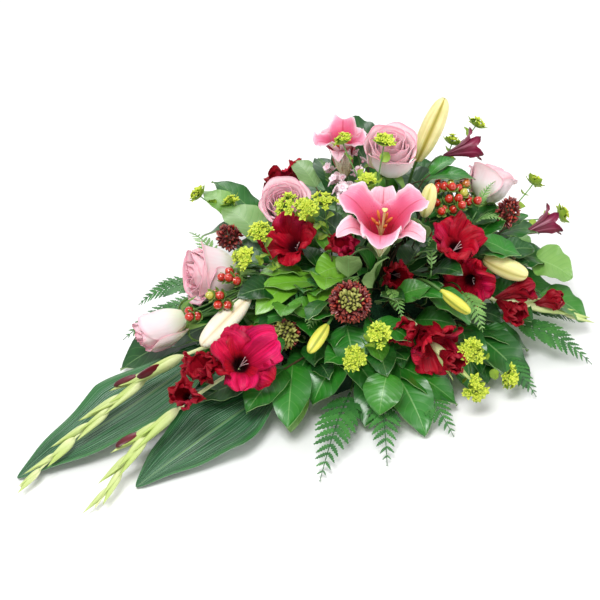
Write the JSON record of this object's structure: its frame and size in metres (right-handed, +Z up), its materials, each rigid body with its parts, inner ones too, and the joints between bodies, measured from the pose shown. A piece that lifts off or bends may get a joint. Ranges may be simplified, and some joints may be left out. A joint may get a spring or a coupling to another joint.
{
  "type": "flower sheaf",
  "caption": "Flat one-sided flower arrangement with a long leafy tail, set in a low tray of floral foam that rests on a table.",
  "frame": {"origin": "centre of the tray's flat underside, on the table", "axes": "+Z up; the sheaf's length lies along X, its long leafy tail towards -X; the picture looks from the -Y side"},
  "size_m": [0.755, 0.4422, 0.285],
  "materials": {
    "tray": "matt dark green plastic",
    "foam": "wet green floral foam, matt",
    "rose": "soft pale pink petals with deeper edges",
    "lily": "crimson to pink petals with near-white edges",
    "lily_bud": "smooth cream to yellow-green bud",
    "gladiolus": "deep red petals with a soft sheen",
    "gladiolus_spike": "pale yellow-green bracts and cream florets",
    "alstroemeria": "maroon petals",
    "berry": "shiny orange-red berries",
    "skimmia": "dense brown-red buds",
    "bupleurum": "bright yellow-green florets and bracts",
    "waxflower": "small waxy pink-white flowers",
    "aspidistra": "dark green strap leaf with fine ribs",
    "fern": "dark green fern",
    "salal": "glossy dark green leaf"
  },
  "bodies": {
    "root": {"alstroemeria_right": "alstroemeria", "alstroemeria_top": "alstroemeria", "aspidistra_left": "aspidistra", "aspidistra_right": "aspidistra", "bupleurum_back": "bupleurum", "bupleurum_centre": "bupleurum", "bupleurum_front": "bupleurum", "bupleurum_front_left": "bupleurum", "bupleurum_left": "bupleurum", "bupleurum_right": "bupleurum", "bupleurum_top": "bupleurum", "bupleurum_top_right": "bupleurum", "fern_back": "fern", "fern_far_left": "fern", "fern_front": "fern", "fern_left": "fern", "fern_right": "fern", "foam": "foam", "gladiolus_back": "gladiolus", "gladiolus_centre_right": "gladiolus", "gladiolus_front": "gladiolus_spike", "gladiolus_left": "gladiolus", "gladiolus_middle": "gladiolus", "gladiolus_right": "gladiolus_spike", "gladiolus_tail_left": "gladiolus_spike", "gladiolus_tail_right": "gladiolus_spike", "gladiolus_under_lily": "gladiolus", "hypericum_left": "berry", "hypericum_right": "berry", "lily_bud_centre": "lily_bud", "lily_bud_front": "lily_bud", "lily_bud_left": "lily_bud", "lily_bud_low": "lily_bud", "lily_bud_right": "lily_bud", "lily_bud_top": "lily_bud", "lily_half_open": "lily", "lily_open": "lily", "rose_back_left": "rose", "rose_left": "rose", "rose_right": "rose", "rose_tail": "rose", "rose_top": "rose", "salal_back_left": "salal", "salal_back_middle": "salal", "salal_back_right": "salal", "salal_corner": "salal", "salal_front": "salal", "salal_front_left": "salal", "salal_front_right": "salal", "salal_middle": "salal", "salal_right": "salal", "salal_top": "salal", "salal_under_lily": "salal", "skimmia_centre": "skimmia", "skimmia_left": "skimmia", "skimmia_low": "skimmia", "skimmia_right": "skimmia", "tray": "tray", "waxflower": "waxflower"}
  },
  "joints": []
}
